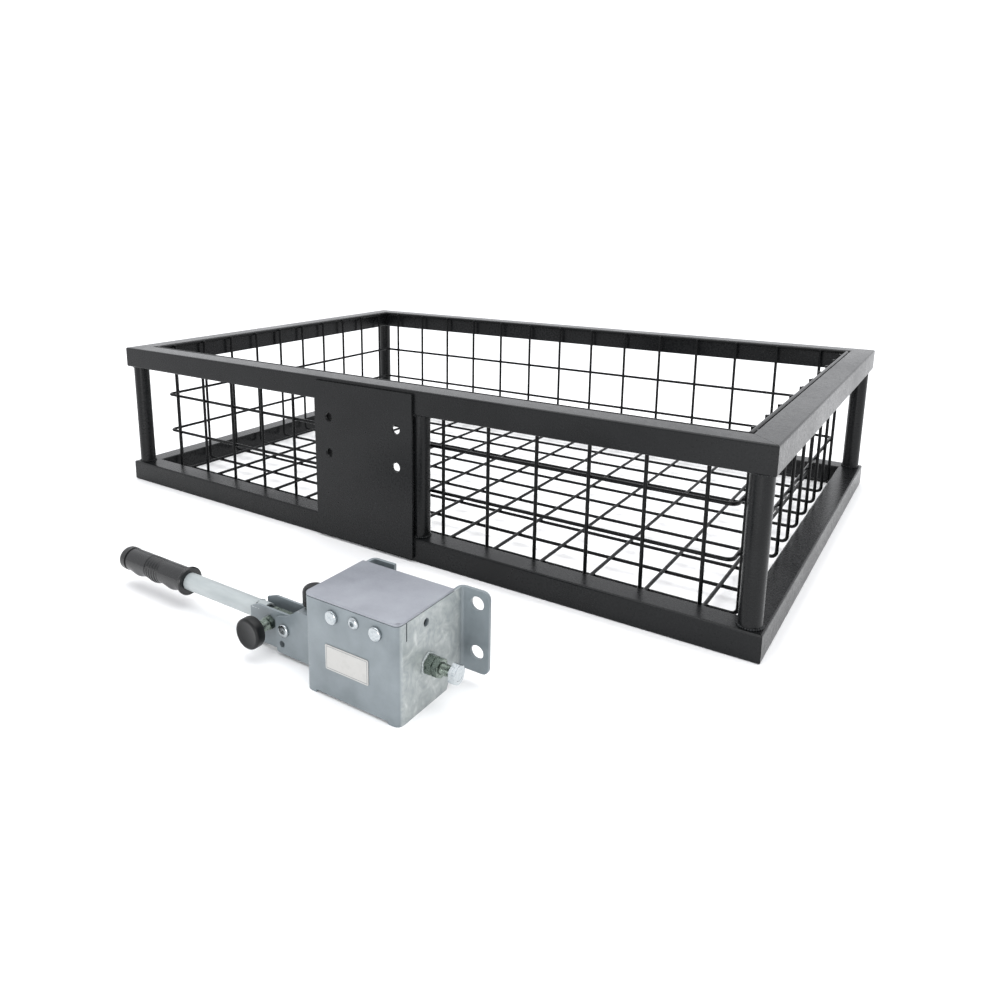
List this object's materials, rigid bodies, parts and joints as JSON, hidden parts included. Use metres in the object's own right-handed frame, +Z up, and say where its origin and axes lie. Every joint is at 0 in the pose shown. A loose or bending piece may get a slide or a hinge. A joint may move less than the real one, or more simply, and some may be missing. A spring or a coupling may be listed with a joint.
{
  "type": "hitch cargo carrier",
  "caption": "Black steel cargo basket with a welded wire liner and a front mounting plate, and the grey tow-ball coupling with a folding lever handle that bolts to it.",
  "frame": {"origin": "middle of the front lower rail's underside, 12.5 mm behind its front face, which is the floor under the basket's front edge", "axes": "+X along the basket's length, +Y away from the towing car, +Z up"},
  "size_m": [1.125, 1.0688, 0.25],
  "materials": {
    "frame_black": "black powder coat, half gloss",
    "wire_black": "black powder coat on round wire",
    "coupling_grey": "blue-grey paint, half gloss",
    "zinc": "zinc plated",
    "forged": "forged steel, oiled",
    "black_plastic": "moulded, fine texture",
    "grip": "dark grey vinyl",
    "label": "blank white foil"
  },
  "bodies": {
    "basket": {"bottom_rail_front": "frame_black", "bottom_rail_back": "frame_black", "bottom_rail_left": "frame_black", "bottom_rail_right": "frame_black", "top_rail_front": "frame_black", "top_rail_back": "frame_black", "top_rail_left": "frame_black", "top_rail_right": "frame_black", "corner_post_front_left": "frame_black", "corner_post_front_right": "frame_black", "corner_post_back_left": "frame_black", "corner_post_back_right": "frame_black", "inner_post_left": "frame_black", "inner_post_right": "frame_black", "mounting_plate": "frame_black", "liner_floor": "wire_black", "liner_front": "wire_black", "liner_back": "wire_black", "liner_left": "wire_black", "liner_right": "wire_black"},
    "coupling": {"coupling_housing": "coupling_grey", "top_cover": "coupling_grey", "pin_support_plate": "coupling_grey", "ball_seat": "forged", "seat_screw": "zinc", "jaw_pin_left": "zinc", "jaw_pin_right": "zinc", "retaining_ring_left": "forged", "retaining_ring_right": "forged", "weld_nut": "zinc", "lock_nut": "zinc", "label_plate": "label"},
    "lever_arm": {"left_jaw": "forged", "arm_bracket": "coupling_grey", "index_tongue": "zinc", "fold_pin": "zinc", "latch_guide": "zinc", "latch_spring": "zinc"},
    "latch": {"latch_button": "black_plastic", "latch_clip": "forged"},
    "handle": {"handle_channel": "coupling_grey", "handle_tube": "coupling_grey", "handle_grip": "grip", "plunger_sleeve": "zinc", "plunger_spring": "zinc"},
    "plunger": {"plunger_pin": "zinc", "plunger_knob": "black_plastic"},
    "bolt": {"adjusting_bolt": "zinc"},
    "right_jaw": {"counter_jaw": "forged"}
  },
  "joints": [
    {"name": "coupling_fit", "type": "slide", "parent": "basket", "child": "coupling", "axis": [-0.7636, 0.5742, 0.2953], "range_m": [0, 0.34377]},
    {"name": "lever_swing", "type": "hinge", "parent": "coupling", "child": "lever_arm", "pos_m": [0.224, -0.2805, 0.092], "axis": [0, 1, 0], "range_deg": [0, 35]},
    {"name": "latch_press", "type": "slide", "parent": "lever_arm", "child": "latch", "axis": [0, 0, -1], "range_m": [0, 0.004], "stiffness_N_per_m": 400, "springref_m": -0.006, "deforming": ["latch_spring"]},
    {"name": "handle_fold", "type": "hinge", "parent": "lever_arm", "child": "handle", "pos_m": [0.126, -0.2805, 0.034], "axis": [0, 1, 0], "range_deg": [0, 85]},
    {"name": "plunger_lock", "type": "slide", "parent": "handle", "child": "plunger", "axis": [0, 1, 0], "range_m": [0, 0.007], "deforming": ["plunger_spring"]},
    {"name": "bolt_turn", "type": "slide", "parent": "coupling", "child": "bolt", "axis": [1, 0, 0], "range_m": [0, 0.004]},
    {"name": "counter_jaw_swing", "type": "hinge", "parent": "coupling", "child": "right_jaw", "pos_m": [0.28, -0.2805, 0.092], "axis": [0, 1, 0], "range_deg": [-4.7, 0]}
  ],
  "couplings": [
    {"joint": "counter_jaw_swing", "follows": "bolt_turn", "rad_per_m": -20}
  ]
}
